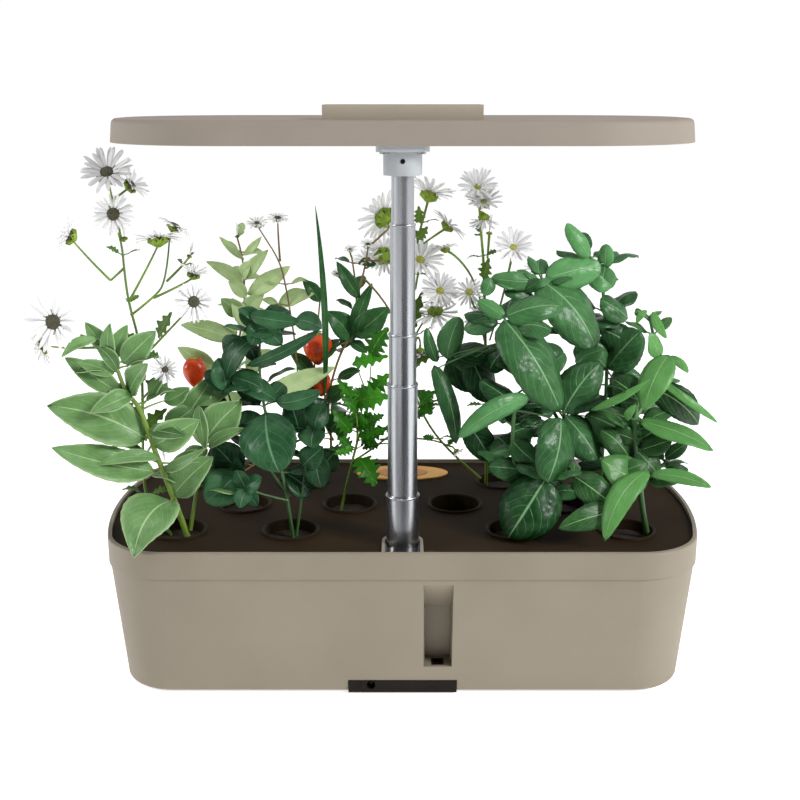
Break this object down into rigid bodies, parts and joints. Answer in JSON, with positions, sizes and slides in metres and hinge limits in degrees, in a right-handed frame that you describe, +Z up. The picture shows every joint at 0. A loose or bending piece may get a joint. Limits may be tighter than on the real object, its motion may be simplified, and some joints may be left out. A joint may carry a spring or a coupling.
{
  "type": "countertop hydroponic garden",
  "caption": "Countertop hydroponic garden: drafted beige water tank with a dark planting deck, grow baskets of plants, a telescoping mast and a flat grow lamp.",
  "frame": {"origin": "on the table, under the middle of the tank", "axes": "+Z up, +X along the tank to the right as seen from the side with the mast, +Y away from that side"},
  "size_m": [0.4766, 0.207, 0.391],
  "materials": {
    "beige_shell": "satin moulded plastic",
    "brown_deck": "fine-grained dark brown plastic",
    "gloss_plate": "polished dark plate",
    "dark_basket": "satin dark plastic",
    "sponge": "open-celled growing sponge",
    "gold_trim": "gold-coloured satin trim",
    "copper_lid": "copper-coloured satin lid",
    "steel_pin": "drawn steel",
    "black_plastic": "satin black plastic",
    "black_strip": "satin black plastic",
    "rubber_foot": "matte rubber",
    "circuit_board": "lacquered board",
    "white_plastic": "satin white plastic",
    "pale_collar": "satin pale grey plastic",
    "lamp_top": "satin moulded plastic",
    "diffuser": "frosted diffuser",
    "diode_yellow": "moulded diode",
    "white_lead": "soft sheath",
    "mast_steel": "polished steel tube",
    "petals": "soft white petals",
    "pepper_skin": "smooth waxy skin",
    "pale_leaf": "light green leaf",
    "stem_green": "green stem",
    "dark_leaf": "dark green leaf",
    "bright_leaf": "bright green leaf"
  },
  "bodies": {
    "base": {"tank_shell": "beige_shell", "rim_frame": "beige_shell", "planting_deck": "brown_deck", "mast_seat": "beige_shell", "mast_foot_plate": "gloss_plate", "mast_tube_5": "mast_steel", "lamp_lead": "white_lead", "grow_baskets": "dark_basket", "grow_sponges": "sponge", "inlet_bezel": "gold_trim", "inlet_strainer": "dark_basket", "lid_pin": "steel_pin", "timer_switch": "black_plastic", "bottom_cover": "black_strip", "cover_screws": "steel_pin", "rubber_feet": "rubber_foot", "power_jack": "black_plastic", "control_board": "circuit_board", "accessory_socket": "black_plastic", "pump_body": "black_plastic", "pump_cover": "black_plastic", "pump_shaft": "steel_pin", "pump_outlet": "white_plastic", "pump_feet": "rubber_foot", "lance_plant": "pale_leaf", "daisy_left": "stem_green", "round_leaf_plant": "dark_leaf", "pale_plant": "pale_leaf", "pepper_plant": "dark_leaf", "cut_leaf_plant": "bright_leaf", "daisy_right": "stem_green", "basil_near": "dark_leaf", "basil_middle": "dark_leaf", "basil_back": "dark_leaf", "basil_right": "dark_leaf", "daisy_heads_left": "petals", "daisy_heads_right": "petals", "pepper_fruits": "pepper_skin"},
    "tube_4": {"mast_tube_4": "mast_steel", "tube_guide_4": "white_plastic"},
    "tube_3": {"mast_tube_3": "mast_steel", "tube_guide_3": "white_plastic"},
    "tube_2": {"mast_tube_2": "mast_steel", "tube_guide_2": "white_plastic"},
    "lamp_head": {"mast_tube_1": "mast_steel", "tube_guide_1": "white_plastic", "lamp_collar": "pale_collar", "lamp_shell": "lamp_top", "lamp_diffuser": "diffuser", "lamp_board": "circuit_board", "lamp_diodes": "diode_yellow", "lamp_screws": "steel_pin", "driver_cover": "lamp_top", "driver_board": "circuit_board"},
    "snap": {"snap_button": "black_plastic"},
    "timer": {"timer_button": "black_plastic"},
    "lid": {"inlet_lid": "copper_lid"},
    "impeller": {"pump_impeller": "white_plastic"},
    "basket": {"empty_basket": "dark_basket"}
  },
  "joints": [
    {"name": "mast_slide_4", "type": "slide", "parent": "base", "child": "tube_4", "axis": [0, 0, 1], "range_m": [-0.074, 0.002], "deforming": ["lance_plant", "daisy_left", "round_leaf_plant", "pale_plant", "pepper_plant", "cut_leaf_plant", "daisy_right", "basil_near", "basil_middle", "basil_back", "basil_right", "daisy_heads_left", "daisy_heads_right", "pepper_fruits", "lamp_lead"]},
    {"name": "mast_slide_3", "type": "slide", "parent": "tube_4", "child": "tube_3", "axis": [0, 0, 1], "range_m": [-0.032, 0.002]},
    {"name": "mast_slide_2", "type": "slide", "parent": "tube_3", "child": "tube_2", "axis": [0, 0, 1], "range_m": [-0.069, 0.003]},
    {"name": "mast_slide_1", "type": "slide", "parent": "tube_2", "child": "lamp_head", "axis": [0, 0, 1], "range_m": [-0.03, 0.002]},
    {"name": "snap_press", "type": "slide", "parent": "lamp_head", "child": "snap", "axis": [0, 1, 0], "range_m": [0, 0.002], "stiffness_N_per_m": 400},
    {"name": "timer_press", "type": "slide", "parent": "base", "child": "timer", "axis": [0, 0, -1], "range_m": [0, 0.0006], "stiffness_N_per_m": 1500, "springref_m": -0.0004},
    {"name": "lid_hinge", "type": "hinge", "parent": "base", "child": "lid", "pos_m": [0, 0.0846, 0.1033], "axis": [-1, 0, 0], "range_deg": [0, 95]},
    {"name": "impeller_spin", "type": "hinge", "parent": "base", "child": "impeller", "pos_m": [0.1225, 0.034, 0.034], "axis": [1, 0, 0], "continuous": true},
    {"name": "basket_lift", "type": "slide", "parent": "base", "child": "basket", "axis": [0, 0, 1], "range_m": [0, 0.06]}
  ],
  "couplings": [
    {"joint": "mast_slide_3", "follows": "mast_slide_4", "ratio": 0.4189},
    {"joint": "mast_slide_2", "follows": "mast_slide_4", "ratio": 0.9203},
    {"joint": "mast_slide_1", "follows": "mast_slide_4", "ratio": 0.3959}
  ]
}
